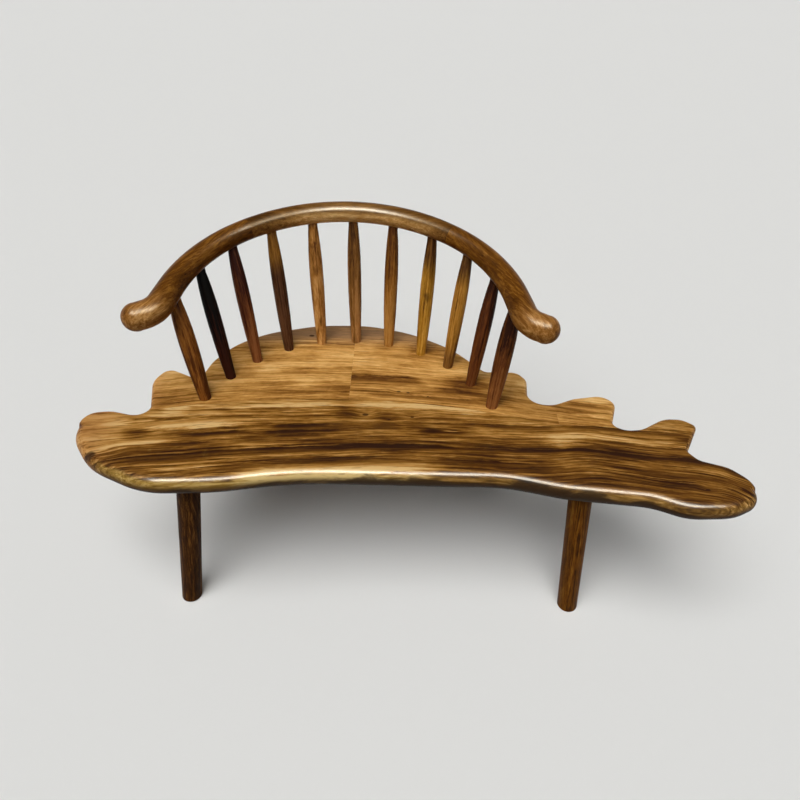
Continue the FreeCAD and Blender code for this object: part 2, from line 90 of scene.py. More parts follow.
def ramp(tree, factor, stops):
    added = addNode(tree, "ValToRGB", {"Fac": factor})
    elements = added.color_ramp.elements
    elements[0].position, elements[0].color = stops[0]
    elements[1].position, elements[1].color = stops[-1]
    for position, shade in stops[1:-1]:
        elements.new(position).color = shade
    return added.outputs[0]


def greyRamp(tree, factor, stops):
    return ramp(tree, factor, [(position, (grey, grey, grey, 1)) for position, grey in stops])


def fade(tree, value, low, high, start=0, end=1):
    # a soft step: start on low's side, end on high's side, and low may be the larger
    return addNode(tree, "MapRange", {
        "Value": value, "From Min": low, "From Max": high, "To Min": start, "To Max": end,
    }, interpolation_type="SMOOTHSTEP").outputs[0]


def stretch(tree, place, scales, shift=(0, 0, 0)):
    return vectorCalc(tree, "ADD", vectorCalc(tree, "MULTIPLY", place, scales), shift)


def noise(tree, place, scales, shift=(0, 0, 0), detail=2, roughness=0.5, distortion=0):
    # the first output is grey, and Color holds three greys for the three directions
    return addNode(tree, "TexNoise", {
        "Vector": stretch(tree, place, scales, shift), "Scale": 1,
        "Detail": detail, "Roughness": roughness, "Distortion": distortion,
    }).outputs


def objectPlace(tree):
    return addNode(tree, "TexCoord").outputs["Object"]


def split(tree, place):
    return addNode(tree, "SeparateXYZ", {0: place}).outputs


def join(tree, across, deep, along):
    return addNode(tree, "CombineXYZ", {0: across, 1: deep, 2: along}).outputs[0]


def seenShare(tree):
    # 1 for what is looked at, also in a mirror or through glass, and 0 for light on its way
    seen = addNode(tree, "LightPath").outputs
    share = calc(tree, "MAXIMUM", seen["Is Camera Ray"], seen["Is Glossy Ray"])
    return calc(tree, "MAXIMUM", share, seen["Is Transmission Ray"])


def newMaterial(name):
    material = bpy.data.materials.new(name)
    material.use_nodes = True
    material.node_tree.nodes.clear()
    return material, material.node_tree


def woodName(name):
    return name.replace("_", " ") + " wood"


# the wood itself: its pattern fills space, with the grain along z of the place it is given
grain = {
    "seedShares": (1, -1, 0.7),
    "streakDeep": 0.7,  # a streak's scale in depth, as a share of its scale across
    "streakRoughness": 0.6,
    "streakDistortion": 0.5,
    "lineDetail": 3,
    "lineRoughness": 0.6,
    "gapAcross": 2,  # the pattern that breaks the dark lines is this much finer than their wander
    "gapAlong": 2.5,
    "gapEdge": (0.42, 0.6),
    "poreDetail": 1,
    "poreEdge": (0.6, 0.7),
}


def drifted(tree, place, look):
    # the fibres wander sideways as they run along
    across, along = look["driftScale"]
    shift = [look["seed"] * share for share in grain["seedShares"]]
    wander = noise(tree, place, (across, across, along), shift)["Color"]
    centred = stretch(tree, wander, (1, 1, 1), (-0.5, -0.5, -0.5))
    width = look["drift"] * 2
    return vectorCalc(tree, "MULTIPLY_ADD", centred, (width, width, 0), place)


def pithDistance(tree, place, look):
    # how far from a pith that lies outside the piece; an arch bends the rings over along the piece
    across, deep, along = split(tree, place)
    pithAcross, pithDeep = look["pith"]
    aside = calc(tree, "ABSOLUTE", calc(tree, "SUBTRACT", across, pithAcross))
    behind = calc(tree, "ABSOLUTE", calc(tree, "SUBTRACT", deep, pithDeep))
    squares = calc(tree, "ADD", calc(tree, "POWER", aside, 2), calc(tree, "POWER", behind, 2))
    fromPith = calc(tree, "SQRT", squares)
    if "arch" in look:
        arch, archMiddle = look["arch"]
        fromMiddle = calc(tree, "ABSOLUTE", calc(tree, "SUBTRACT", along, archMiddle))
        fromPith = calc(tree, "MULTIPLY_ADD", calc(tree, "POWER", fromMiddle, 2), arch, fromPith)
    return fromPith


def ringTone(tree, fromPith, look):
    # growth rings with uneven spacing
    rings = calc(tree, "MULTIPLY_ADD", fromPith, look["rings"], look["seed"])
    return addNode(tree, "TexNoise", {
        "W": rings, "Scale": 1, "Detail": 2, "Roughness": 0.5,
    }, noise_dimensions="1D").outputs[0]


def darkLines(tree, place, fromPith, look):
    # thin dark lines that follow the rings, wander a little and fade in and out
    perMetre, wander, width, strength = look["lines"]
    seed = look["seed"]
    detail, roughness = grain["lineDetail"], grain["lineRoughness"]
    across, along = look["lineScale"]
    drift = noise(tree, place, (across, across, along), (seed, 0, -seed), detail, roughness)[0]
    phase = calc(tree, "MULTIPLY_ADD", fromPith, perMetre, calc(tree, "MULTIPLY", drift, wander))
    line = fade(tree, calc(tree, "PINGPONG", phase, 0.5), 0, width, 1, 0)
    across, along = across * grain["gapAcross"], along * grain["gapAlong"]
    gaps = noise(tree, place, (across, across, along), (-seed, seed, 0), detail, roughness)[0]
    shown = calc(tree, "MULTIPLY", line, fade(tree, gaps, *grain["gapEdge"]))
    return calc(tree, "MULTIPLY", shown, strength)


def woodTone(tree, place, look):
    # rings and layers of streaks, from broad figure to fine fibre, about a middle of 0.5
    bent = drifted(tree, place, look)
    fromPith = pithDistance(tree, bent, look)
    share = look["ringShare"]
    tone = calc(tree, "MULTIPLY_ADD", ringTone(tree, fromPith, look), share, 0.5 - share / 2)
    for number, (across, along, detail, share) in enumerate(look["layers"]):
        shift = look["seed"] * (number + 1)
        fibre = noise(
            tree, bent, (across, across * grain["streakDeep"], along), (shift, -shift, shift),
            detail, grain["streakRoughness"], grain["streakDistortion"],
        )[0]
        tone = calc(tree, "MULTIPLY_ADD", fibre, share, calc(tree, "SUBTRACT", tone, share / 2))
    if "lines" in look:
        tone = calc(tree, "SUBTRACT", tone, darkLines(tree, bent, fromPith, look))
    return tone, fibre, bent


def withPores(tree, tint, place, look):
    # short dark pores drawn out along the grain
    across, along = look["poreScale"]
    speckle = noise(tree, place, (across, across, along), detail=grain["poreDetail"])[0]
    poreMask = fade(tree, speckle, *grain["poreEdge"])
    share = calc(tree, "MULTIPLY", poreMask, look["poreStrength"])
    return blend(tree, share, tint, look["poreTint"]), poreMask


# lacquer over the grain: pores and fibres show in it, and it lies a little unevenly
lacquer = {
    "fibreSpan": (0.3, 0.7),
    "smoother": 0.04,  # roughness taken off in the dips and added on the crests of the fibre
    "rougher": 0.06,
    "poreHeight": -0.6,
    "fibreHeight": 0.5,
    "grainStrength": 0.3,
    "grainDepth": 0.0003,
    "waveScale": (9, 9, 9),
    "waveDepth": 0.004,
    "coatIor": 1.5,
    "plainTint": (1, 1, 1, 1),
}


def lacquered(tree, material, tint, fibre, poreMask, coat, look):
    smooth, rough = look["rough"] - lacquer["smoother"], look["rough"] + lacquer["rougher"]
    roughness = fade(tree, fibre, *lacquer["fibreSpan"], smooth, rough)
    height = calc(tree, "MULTIPLY", fibre, lacquer["fibreHeight"])
    height = calc(tree, "MULTIPLY_ADD", poreMask, lacquer["poreHeight"], height)
    grainBump = addNode(tree, "Bump", {
        "Height": height, "Strength": lacquer["grainStrength"], "Distance": lacquer["grainDepth"],
    })
    waveBump = addNode(tree, "Bump", {
        "Height": noise(tree, objectPlace(tree), lacquer["waveScale"], detail=1)[0],
        "Strength": look["unevenness"], "Distance": lacquer["waveDepth"],
        "Normal": grainBump.outputs[0],
    })
    shader = addNode(tree, "BsdfPrincipled", {
        "Base Color": tint, "Roughness": roughness, "Normal": waveBump.outputs[0],
        "Coat Weight": coat, "Coat Roughness": look["coatRough"], "Coat IOR": lacquer["coatIor"],
        "Specular IOR Level": look["gloss"],
        "Specular Tint": look.get("glossTint", lacquer["plainTint"]),
    })
    output = addNode(tree, "OutputMaterial")
    tree.links.new(shader.outputs[0], output.inputs[0])
    return material


# seat boards: the grain follows a line along the board, told as x and how far the line lies back
board = {
    "lineReach": 0.8,  # how far the line's curve can go, both ways from the middle
    "lineHeight": 0.12,
    "streakCore": 0.15,  # the part of a streak's half width that has its full depth
    "knotLength": 0.6,  # a knot is longer along the board by one over this
    "knotSpread": 4,  # the grain bends round a knot as far as this many radii
    "knotBend": 1.2,
    "knotCore": (0.1, 0.6),
    "ragged": 0.02,
}


def boardPlace(tree, look):
    x, y, z = split(tree, objectPlace(tree))
    reach, height = board["lineReach"], board["lineHeight"]
    curve = addNode(tree, "FloatCurve", {"Value": calc(tree, "MULTIPLY_ADD", x, 0.5 / reach, 0.5)})
    line = curve.mapping.curves[0]
    points = [((px / reach + 1) / 2, (py / height + 1) / 2) for px, py in look["grainLine"]]
    line.points[0].location = points[0]
    line.points[1].location = points[-1]
    for point in points[1:-1]:
        line.points.new(*point)
    curve.mapping.update()
    offset = calc(tree, "MULTIPLY_ADD", curve.outputs[0], 2 * height, -height)
    rearShare, rearStart, rearEnd = look["straighter"]
    offset = calc(tree, "MULTIPLY", offset, fade(tree, y, rearStart, rearEnd, 1, rearShare))
    return calc(tree, "SUBTRACT", y, offset), z, x


def streakMask(tree, across, along, streak):
    # one streak with tapered ends
    middle, half, start, end, taper = streak
    aside = calc(tree, "ABSOLUTE", calc(tree, "SUBTRACT", across, middle))
    thick = fade(tree, aside, half * board["streakCore"], half, 1, 0)
    near = fade(tree, along, start, start + taper)
    far = fade(tree, along, end - taper, end, 1, 0)
    return calc(tree, "MULTIPLY", thick, calc(tree, "MULTIPLY", near, far))


def knotMask(tree, knot, spread=1):
    x, y, radius = knot
    length = board["knotLength"]
    flat = vectorCalc(tree, "MULTIPLY", objectPlace(tree), (length, 1, 0))
    away = vectorCalc(tree, "DISTANCE", flat, (x * length, y, 0))
    return fade(tree, away, 0, radius * spread, 1, 0)


def boardWood(name, look):
    material, tree = newMaterial(name)
    across, deep, along = boardPlace(tree, look)
    for knot in look["knots"]:
        bend = knot[2] * board["knotBend"]
        across = calc(tree, "MULTIPLY_ADD", knotMask(tree, knot, board["knotSpread"]), bend, across)
    place = join(tree, across, deep, along)
    tone, fibre, bent = woodTone(tree, place, look)
    bentAcross, _, bentAlong = split(tree, bent)
    centred = calc(tree, "SUBTRACT", tone, 0.5)
    ragged = calc(tree, "MULTIPLY_ADD", centred, board["ragged"], bentAcross)
    low, high = look["bandSpan"]
    band = addNode(tree, "MapRange", {
        "Value": bentAcross, "From Min": low, "From Max": high,
    }).outputs[0]
    shift = calc(tree, "SUBTRACT", greyRamp(tree, band, look["bands"]), 0.5)
    tone = calc(tree, "ADD", tone, shift)
    for depth, *shape in look["streaks"]:
        tone = calc(tree, "MULTIPLY_ADD", streakMask(tree, ragged, bentAlong, shape), depth, tone)
    for x, y, radius, lift in look["patches"]:
        tone = calc(tree, "MULTIPLY_ADD", knotMask(tree, (x, y, radius)), lift, tone)
    tint = ramp(tree, tone, look["palette"])
    # a paler, greyer strip at the back of the rear boards, a painted reflection of a bright wall
    # behind
    if "back" in look:
        back = look["back"]
        mask = fade(tree, bentAcross, back["from"], back["to"], 0, back["strength"])
        tint = blend(tree, mask, tint, back["tint"])
    for end in look["ends"]:
        mask = fade(tree, along, end["from"], end["to"])
        mask = calc(tree, "MULTIPLY", mask, end["strength"])
        tint = blend(tree, mask, tint, ramp(tree, tone, end["palette"]))
    for knot in look["knots"]:
        core = fade(tree, knotMask(tree, knot), *board["knotCore"], 0, look["knotStrength"])
        tint = blend(tree, core, tint, look["knotTint"])
    if "nose" in look:
        tint = noseTint(tree, tint, tone, look["nose"])
    tint, poreMask = withPores(tree, tint, place, look)
    return lacquered(tree, material, tint, fibre, poreMask, look["coat"], look)


def noseTint(tree, tint, tone, nose):
    # paler sapwood down the rounded front, painted shade towards its underside, dark bark patches
    # low on it
    where = objectPlace(tree)
    x, y, z = split(tree, where)
    ragged = noise(tree, where, *nose["raggedNoise"])[0]
    height = calc(tree, "MULTIPLY_ADD", calc(tree, "SUBTRACT", ragged, 0.5), nose["ragged"], z)
    front = calc(tree, "MULTIPLY", fade(tree, y, *nose["front"]), fade(tree, x, *nose["fadeIn"]))
    pale = calc(tree, "MULTIPLY", fade(tree, height, *nose["paleHeights"]), front)
    right = fade(tree, x, *nose["fadeOut"], 1, nose["rightStrength"])
    pale = calc(tree, "MULTIPLY", pale, right)
    tint = blend(tree, pale, tint, ramp(tree, tone, nose["palette"]))
    patches = noise(tree, where, *nose["barkNoise"])[0]
    patches = calc(tree, "SUBTRACT", patches, 0.5)
    height = calc(tree, "MULTIPLY_ADD", patches, nose["barkDepth"], height)
    for middle, half, lift in nose["barkSpots"]:
        aside = calc(tree, "ABSOLUTE", calc(tree, "SUBTRACT", x, middle))
        spot = fade(tree, aside, half * nose["barkCore"], half, lift, 0)
        height = calc(tree, "SUBTRACT", height, spot)
    # painted shade: the front edge darkens towards its underside, where less light falls
    under = fade(tree, z, *nose["underHeights"], 0, nose["underStrength"])
    tint = blend(tree, calc(tree, "MULTIPLY", under, front), tint, nose["under"])
    low = calc(tree, "MULTIPLY", fade(tree, height, *nose["barkHeights"]), front)
    low = calc(tree, "MULTIPLY", low, fade(tree, z, *nose["barkTop"]))
    return blend(tree, calc(tree, "MULTIPLY", low, nose["barkStrength"]), tint, nose["bark"])


frontSlab = {
    "seed": 3.7,
    "grainLine": [
        (-0.8, -0.085), (-0.66, -0.066), (-0.5, -0.047), (-0.4, -0.032), (-0.2, -0.012),
        (-0.05, 0), (0.12, 0.001), (0.28, -0.005), (0.335, -0.001), (0.4, 0.005), (0.47, -0.003),
        (0.55, -0.015), (0.64, -0.024), (0.72, -0.055), (0.8, -0.11),
    ],
    "straighter": (0.5, -0.17, -0.06),  # the share of the line's bend that is left from y to y
    "driftScale": (5, 2.4),
    "drift": 0.006,
    "pith": (-0.08, 0.27),
    "rings": 120,
    "ringShare": 0.24,
    "layers": [
        # scale across, scale along, detail, share
        (11, 2.2, 2, 0.28), (50, 2.6, 4, 0.66), (120, 4, 3, 0.9), (130, 50, 3, 0.22),
        (260, 14, 3, 0.85),
    ],
    "lines": (150, 3, 0.2, 0.26),  # lines per metre, wander, width, strength
    "lineScale": (12, 1.5),
    "bandSpan": (-0.26, 0.0),
    "bands": [
        (0, 0.4), (0.12, 0.38), (0.2, 0.37), (0.3, 0.39), (0.36, 0.35), (0.44, 0.4), (0.52, 0.5),
        (0.6, 0.47), (0.68, 0.53), (0.78, 0.49), (0.88, 0.66), (0.95, 0.62), (1, 0.55),
    ],
    "streaks": [
        # depth, where across, half its width, start, end, taper
        (-0.36, -0.167, 0.009, -0.46, 0.16, 0.16),
        (-0.20, -0.172, 0.012, -0.24, 0.14, 0.1),
        (-0.20, -0.168, 0.008, 0.05, 0.38, 0.08),
        (-0.30, -0.168, 0.008, 0.28, 0.80, 0.1),
        (-0.30, -0.168, 0.006, -0.72, -0.38, 0.08),
        (-0.36, -0.110, 0.009, -0.52, -0.34, 0.06),
        (-0.20, -0.123, 0.011, -0.42, -0.2, 0.08),
        (-0.18, -0.136, 0.006, -0.58, -0.40, 0.08),
        (-0.10, -0.070, 0.005, -0.70, -0.54, 0.06),
        (-0.22, -0.198, 0.005, -0.66, -0.50, 0.06),
        (-0.16, -0.207, 0.004, -0.42, 0.04, 0.15),
        (-0.22, -0.207, 0.005, 0.02, 0.34, 0.1),
        (-0.18, -0.140, 0.005, -0.28, -0.14, 0.05),
        (-0.20, -0.090, 0.0045, -0.04, 0.24, 0.08),
        (-0.20, -0.091, 0.010, 0.15, 0.37, 0.06),
        (-0.36, -0.118, 0.009, 0.02, 0.15, 0.04),
        (-0.16, -0.148, 0.004, 0.20, 0.52, 0.1),
        (-0.22, -0.133, 0.005, 0.37, 0.67, 0.1),
        (-0.30, -0.085, 0.012, 0.34, 0.68, 0.06),
        (-0.28, -0.241, 0.012, 0.40, 0.68, 0.1),
        (-0.20, -0.272, 0.008, 0.34, 0.56, 0.08),
        (-0.22, -0.235, 0.004, -0.58, -0.46, 0.03),
        (-0.26, -0.232, 0.005, 0.06, 0.20, 0.04),
        (-0.12, -0.160, 0.018, 0.0, 0.32, 0.1),
        (-0.14, -0.212, 0.026, 0.0, 0.36, 0.1),
        (-0.12, -0.026, 0.020, 0.30, 0.42, 0.03),
        (-0.24, -0.100, 0.007, -0.32, -0.17, 0.03),
        (-0.30, -0.116, 0.006, -0.335, -0.15, 0.03),
        (-0.45, -0.234, 0.0028, 0.68, 0.76, 0.02),
        (-0.40, -0.221, 0.0022, 0.70, 0.77, 0.02),
        (-0.22, -0.129, 0.005, -0.31, -0.18, 0.03),
        (0.34, -0.084, 0.016, -0.64, -0.32, 0.1),
        (0.20, -0.090, 0.010, -0.52, -0.36, 0.05),
        # this pale band along the front edge is partly the wood's pale edge and partly a painted
        # sheen beside the highlight
        (0.46, -0.244, 0.030, -0.40, 0.10, 0.1),
        (0.26, -0.026, 0.014, -0.44, 0.30, 0.14),
        (0.16, -0.114, 0.016, 0.28, 0.68, 0.1),
        (0.18, -0.058, 0.013, -0.64, -0.4, 0.08),
        (0.34, -0.098, 0.022, -0.78, -0.60, 0.06),
        (0.28, -0.122, 0.012, -0.74, -0.50, 0.08),
        (0.18, -0.190, 0.014, -0.5, -0.04, 0.12),
        (0.12, -0.152, 0.008, -0.46, -0.2, 0.1),
        # this pale band runs on to the left: partly the wood's pale edge and partly a painted sheen
        # beside the highlight
        (0.22, -0.205, 0.022, -0.62, -0.38, 0.08),
    ],
    "patches": [
        # x, y, radius across, how much lighter
        (-0.255, -0.114, 0.036, -0.12), (-0.165, -0.112, 0.03, -0.12), (-0.14, -0.066, 0.03, -0.26),
        (-0.05, -0.068, 0.03, -0.2), (-0.05, -0.105, 0.03, -0.16), (0.05, -0.12, 0.02, -0.12),
        (0.05, -0.09, 0.015, 0.1), (0.15, -0.185, 0.05, -0.12), (-0.02, -0.185, 0.05, -0.12),
        (-0.15, -0.18, 0.02, -0.1), (-0.26, -0.18, 0.02, 0.1), (-0.36, -0.185, 0.03, 0.1),
        (0.26, -0.06, 0.035, 0.1), (0.36, -0.14, 0.04, 0.3), (0.46, -0.18, 0.04, -0.14),
        (-0.55, -0.056, 0.034, 0.45), (-0.56, -0.15, 0.03, 0.2), (-0.66, -0.12, 0.04, 0.22),
        (-0.15, -0.03, 0.03, -0.2), (0.15, -0.03, 0.03, 0.18), (0.35, -0.03, 0.03, -0.3),
        (-0.45, -0.12, 0.016, 0.2), (-0.35, -0.15, 0.02, -0.08), (0.35, -0.18, 0.02, 0.12),
        (0.58, -0.2, 0.04, 0.1), (0.68, -0.21, 0.04, 0.12), (0.25, -0.215, 0.03, 0.08),
        (0.60, -0.27, 0.05, -0.1),
    ],
    "palette": [
        (0.0, colour(44, 20, 2)), (0.14, colour(60, 32, 4)), (0.3, colour(88, 52, 10)),
        (0.44, colour(118, 76, 22)), (0.56, colour(150, 105, 44)), (0.7, colour(184, 136, 70)),
        (0.85, colour(210, 172, 112)),
    ],
    "nose": {
        # noises: scales, shift, detail, roughness, distortion; heights are of z in metres
        "raggedNoise": ((22, 22, 60), (0, 0, 0), 4, 0.6, 0.4),
        "ragged": 0.02,
        "front": (-0.12, -0.16),
        "fadeIn": (-0.70, -0.62),
        "paleHeights": (0.4285, 0.420),
        "fadeOut": (-0.12, 0.12),
        "rightStrength": 0.3,
        "palette": [
            (0.1, colour(108, 78, 26)), (0.35, colour(152, 118, 52)), (0.55, colour(182, 150, 84)),
            (0.75, colour(206, 178, 116)),
        ],
        # painted shade for the underside of the front edge
        "under": colour(82, 52, 4),
        "underHeights": (0.420, 0.405),
        "underStrength": 0.9,
        "bark": colour(42, 24, 0),
        "barkNoise": ((7, 7, 30), (4.2, 0, 1.3), 4, 0.6, 0.6),
        "barkDepth": -0.07,
        "barkHeights": (0.412, 0.396),
        "barkTop": (0.4285, 0.423),
        "barkStrength": 0.9,
        "barkSpots": [
            # x, half the length, how much higher the bark comes
            (-0.06, 0.07, 0.012), (0.04, 0.06, 0.008), (0.33, 0.13, 0.022), (0.54, 0.08, 0.012),
        ],
        "barkCore": 0.4,
    },
    "ends": [{
        "from": -0.62, "to": -0.72, "strength": 0.6,
        "palette": [
            (0.0, colour(50, 22, 6)), (0.36, colour(136, 84, 36)), (0.6, colour(186, 134, 76)),
        ],
    }],
    "knots": [
        # x, y, radius
        (-0.098, -0.064, 0.0075), (-0.042, -0.078, 0.004), (0.012, -0.068, 0.004),
        (0.640, -0.276, 0.005), (0.732, -0.286, 0.006), (-0.688, -0.222, 0.014),
    ],
    "knotStrength": 0.85,
    "knotTint": colour(42, 22, 6),
    "poreScale": (420, 26),
    "poreStrength": 0.4,
    "poreTint": colour(46, 26, 6),
    "rough": 0.42,
    "gloss": 0.026,
    "coat": 0.2,
    "coatRough": 0.18,
    "unevenness": 0.3,
}
rearBoards = {
    "seat_rear_board_left": {
        "seed": 11.3,
        "knots": [(-0.258, 0.256, 0.007)],
        "streaks": [
            (-0.14, 0.058, 0.010, -0.42, -0.13, 0.08),
            (-0.12, 0.100, 0.012, -0.32, -0.2, 0.05),
            (-0.14, 0.026, 0.008, -0.62, -0.48, 0.05),
            (-0.16, 0.004, 0.010, -0.62, -0.46, 0.08),
            (0.12, 0.128, 0.02, -0.36, -0.13, 0.1),
        ],
        "patches": [
            (-0.59, 0.055, 0.05, 0.2), (-0.18, 0.16, 0.04, 0.06), (-0.35, 0.1, 0.04, 0.2),
            (-0.25, 0.05, 0.03, 0.2), (-0.15, 0.015, 0.04, -0.14), (-0.45, 0.01, 0.03, 0.1),
            (-0.25, 0.17, 0.02, -0.08),
        ],
        "ends": [{
            "from": -0.57, "to": -0.63, "strength": 0.6,
            "palette": [
                (0.2, colour(126, 78, 38)), (0.45, colour(184, 128, 70)),
                (0.7, colour(212, 160, 98)),
            ],
        }],
    },
    "seat_rear_board_right": {
        "seed": 23.9,
        "knots": [(-0.021, 0.026, 0.005), (0.002, 0.023, 0.004), (0.05, 0.01, 0.003)],
        "streaks": [
            (-0.42, 0.075, 0.020, -0.24, 0.06, 0.05),
            (-0.16, 0.016, 0.010, -0.12, 0.22, 0.1),
            (-0.16, 0.046, 0.012, 0.04, 0.34, 0.06),
            (-0.16, 0.078, 0.02, 0.18, 0.34, 0.06),
            (-0.16, 0.056, 0.012, 0.36, 0.52, 0.05),
            (0.16, 0.038, 0.005, -0.15, 0.06, 0.05),
        ],
        "patches": [
            (0.45, 0.02, 0.035, 0.22), (0.29, 0.072, 0.022, 0.3), (0.22, 0.01, 0.04, -0.12),
            # (0.15, 0.06) darkens where the end sticks stand above it: painted shade and reflection
            # of them
            (0.15, 0.06, 0.06, -0.5), (0, 0.16, 0.06, -0.1), (0.05, 0.21, 0.05, -0.3),
            (-0.06, 0.215, 0.03, -0.24), (0.40, -0.03, 0.06, -0.2),
        ],
        "ends": [],
    },
    "seat_side_block": {
        "seed": 31.1,
        "knots": [(0.352, -0.067, 0.004)],
        "streaks": [
            (-0.22, 0.012, 0.005, 0.40, 0.52, 0.04),
            (0.16, 0.026, 0.009, 0.34, 0.5, 0.04),
        ],
        "patches": [(0.358, -0.05, 0.012, 0.2)],
        "ends": [],
    },
}
rearBoardLook = {
    "grainLine": [
        (-0.8, -0.11), (-0.6, -0.055), (-0.4, -0.019), (-0.14, 0), (0.1, -0.014), (0.3, -0.042),
        (0.45, -0.066), (0.8, -0.11),
    ],
    "straighter": (0.5, 0.05, 0.3),
    "driftScale": (6, 2.6),
    "drift": 0.006,
    "pith": (0.12, 0.2),
    "rings": 90,
    "ringShare": 0.2,
    "layers": [
        (9, 2.6, 3, 0.4), (44, 2.6, 4, 0.64), (110, 4, 3, 0.78), (90, 50, 3, 0.34),
        (260, 14, 3, 0.8),
    ],
    "lines": (110, 3, 0.2, 0.16),
    "lineScale": (10, 1.5),
    "bandSpan": (0, 0.32),
    "bands": [
        (0, 0.5), (0.12, 0.53), (0.2, 0.64), (0.3, 0.62), (0.42, 0.68), (0.54, 0.70), (0.66, 0.6),
        (0.78, 0.5), (0.9, 0.37), (1, 0.33),
    ],
    "palette": [
        (0.0, colour(64, 34, 8)), (0.2, colour(102, 62, 20)), (0.36, colour(136, 90, 34)),
        (0.5, colour(166, 117, 54)), (0.64, colour(192, 141, 72)), (0.8, colour(214, 165, 96)),
        (0.95, colour(228, 186, 120)),
    ],
    "knotStrength": 0.85,
    "knotTint": colour(44, 26, 12),
    # painted reflection: the back strip is paler and greyer, as a bright wall behind would show in
    # it
    "back": {"from": 0.2, "to": 0.27, "strength": 0.65, "tint": colour(150, 118, 88)},
    "poreScale": (420, 26),
    "poreStrength": 0.3,
    "poreTint": colour(80, 46, 16),
    "rough": 0.42,
    "gloss": 0.026,
    "coat": 0.17,
    "coatRough": 0.18,
    "unevenness": 0.3,
}

seatMaterials = {"seat_front_slab": boardWood("front slab wood", frontSlab)}
for name, own in rearBoards.items():
    seatMaterials[name] = boardWood(woodName(name), {**rearBoardLook, **own})
print("seat woods made")


# round pieces: the grain follows the piece's own axis
roundPieces = {
    "endPoints": 20,  # one in so many of a piece's points tells where its end is
    "fewestPoints": 8,
    "footFrom": 0.02,
    "bowSlope": -0.23,  # heights on the bow are counted from the sloping plane that it lies in
    "shadeStops": (0.26, 0.5, 0.74),
}
roundKnot = {
    "forward": -0.018,
    "wobble": 0.012,
    "wobbleScale": (60, 60, 60),
    "height": 0.5,  # a knot is taller by one over this
    "core": 0.3,
    "strength": 0.85,
}


def axisOf(name):
    # the middles of a piece's lowest and highest points
    points = sorted((vertex.co.copy() for vertex in nodes[name].data.vertices), key=lambda p: p.z)
    count = max(len(points) // roundPieces["endPoints"], roundPieces["fewestPoints"])
    low = sum(points[:count], Vector()) / count
    high = sum(points[-count:], Vector()) / count
    return low, high


def turnedPlace(tree, start, end):
    turning = (end - start).to_track_quat("Z", "Y").to_euler()
    mapped = addNode(tree, "Mapping", {
        "Vector": objectPlace(tree), "Location": tuple(start), "Rotation": tuple(turning),
    }, vector_type="TEXTURE")
    return mapped.outputs[0]


def turnedKnot(tree, tint, middle, radius, knotTint):
    where = objectPlace(tree)
    wobble = noise(tree, where, roundKnot["wobbleScale"])["Color"]
    where = vectorCalc(tree, "MULTIPLY_ADD", wobble, (roundKnot["wobble"],) * 3, where)
    height = roundKnot["height"]
    flat = stretch(tree, where, (1, 1, height))
    away = vectorCalc(tree, "DISTANCE", flat, (middle.x, middle.y, middle.z * height))
    mask = fade(tree, away, radius * roundKnot["core"], radius, roundKnot["strength"], 0)
    return blend(tree, mask, tint, knotTint)


def turnedWood(name, start, end, look):
    # the axis runs from start to end; changes bring in other shades along it, or painted shade at
    # the bow's top
    material, tree = newMaterial(name)
    place = turnedPlace(tree, start, end)
    tone, fibre, bent = woodTone(tree, place, look)
    along = split(tree, bent)[2]
    # the tone moves from the foot's lift to the top's; a darker stick top is painted shade under
    # the bow
    lift = fade(tree, along, roundPieces["footFrom"], (end - start).length, *look["lift"])
    tone = calc(tree, "ADD", tone, lift)
    tint = ramp(tree, tone, look["palette"])
    _, back, height = split(tree, objectPlace(tree))
    height = calc(tree, "MULTIPLY_ADD", back, roundPieces["bowSlope"], height)
    for change in look.get("changes", []):
        mask = fade(tree, height if "top" in change else along, change["from"], change["to"])
        mask = calc(tree, "MULTIPLY", mask, change["strength"])
        tint = blend(tree, mask, tint, ramp(tree, tone, change["palette"]))
    for share, aside, radius in look.get("knots", []):
        middle = start.lerp(end, share) + Vector((aside, roundKnot["forward"], 0))
        tint = turnedKnot(tree, tint, middle, radius, look["knotTint"])
    tint, poreMask = withPores(tree, tint, place, look)
    coat = look["coat"]
    if "polish" in look:
        # a stretch that hands have polished
        polish = look["polish"]
        near, far = fade(tree, along, *polish["start"]), fade(tree, along, *polish["end"])
        mask = calc(tree, "MULTIPLY", near, far)
        coat = calc(tree, "MULTIPLY_ADD", mask, polish["coat"], coat)
    return lacquered(tree, material, tint, fibre, poreMask, coat, look)


def shades(*tints):
    return [(stop, colour(*tint)) for stop, tint in zip(roundPieces["shadeStops"], tints)]
